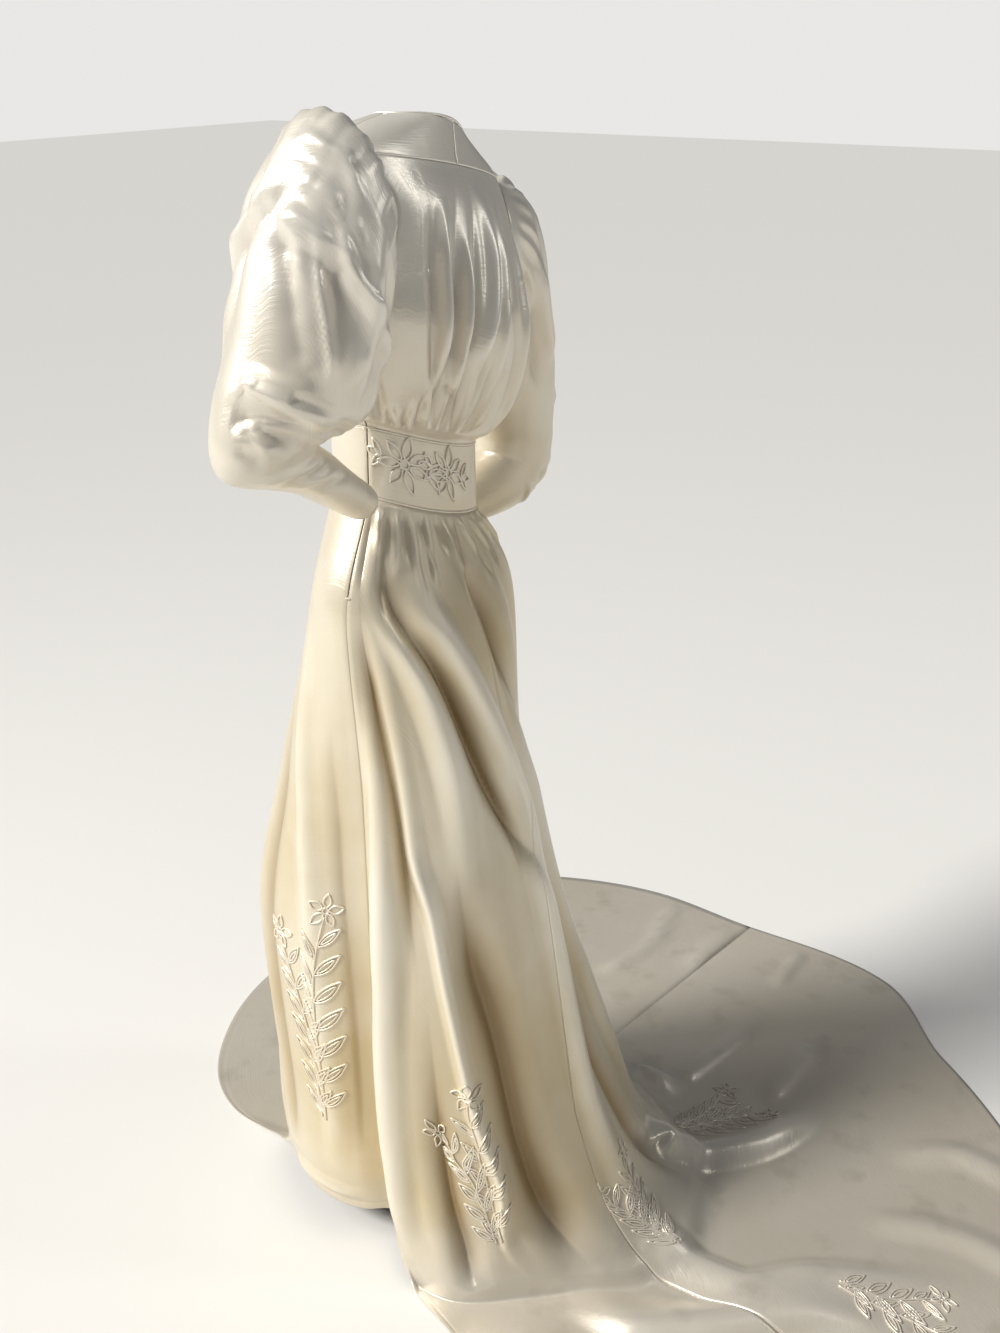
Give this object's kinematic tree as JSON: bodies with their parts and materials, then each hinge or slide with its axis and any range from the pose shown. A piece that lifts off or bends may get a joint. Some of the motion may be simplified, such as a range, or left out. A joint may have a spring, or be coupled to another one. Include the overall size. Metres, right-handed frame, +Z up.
{
  "type": "wedding dress",
  "caption": "Long-sleeved satin wedding dress with gathered back, inset waistband, full upper sleeves and a long train, worn form with no wearer",
  "frame": {"origin": "between the shoulders, 1.43 m above the floor, where the wearer holds the dress up", "axes": "+Z up, -Y the way the wearer faces, +X to the wearer's left, so the train runs out towards +Y and -X"},
  "size_m": [1.3521, 1.8969, 1.5219],
  "materials": {
    "ivory_satin": "liquid satin",
    "satin_cord": "satin over cord"
  },
  "bodies": {
    "root": {"band_cord_foot": "satin_cord", "band_cord_top": "satin_cord", "band_spray_back": "satin_cord", "band_spray_left": "satin_cord", "bar_tack": "satin_cord", "bodice_back": "ivory_satin", "bodice_front": "ivory_satin", "neck_binding": "satin_cord", "placket_underlap": "satin_cord", "skirt_back_left": "ivory_satin", "skirt_back_right": "ivory_satin", "skirt_front": "ivory_satin", "sleeve_left": "ivory_satin", "sleeve_right": "ivory_satin", "spray_back_centre": "satin_cord", "spray_back_left": "satin_cord", "spray_front_left": "satin_cord", "spray_front_right": "satin_cord", "spray_train": "satin_cord", "spray_train_edge": "satin_cord", "waistband_back": "ivory_satin", "waistband_front": "ivory_satin", "yoke_left": "ivory_satin", "yoke_right": "ivory_satin"}
  },
  "joints": []
}
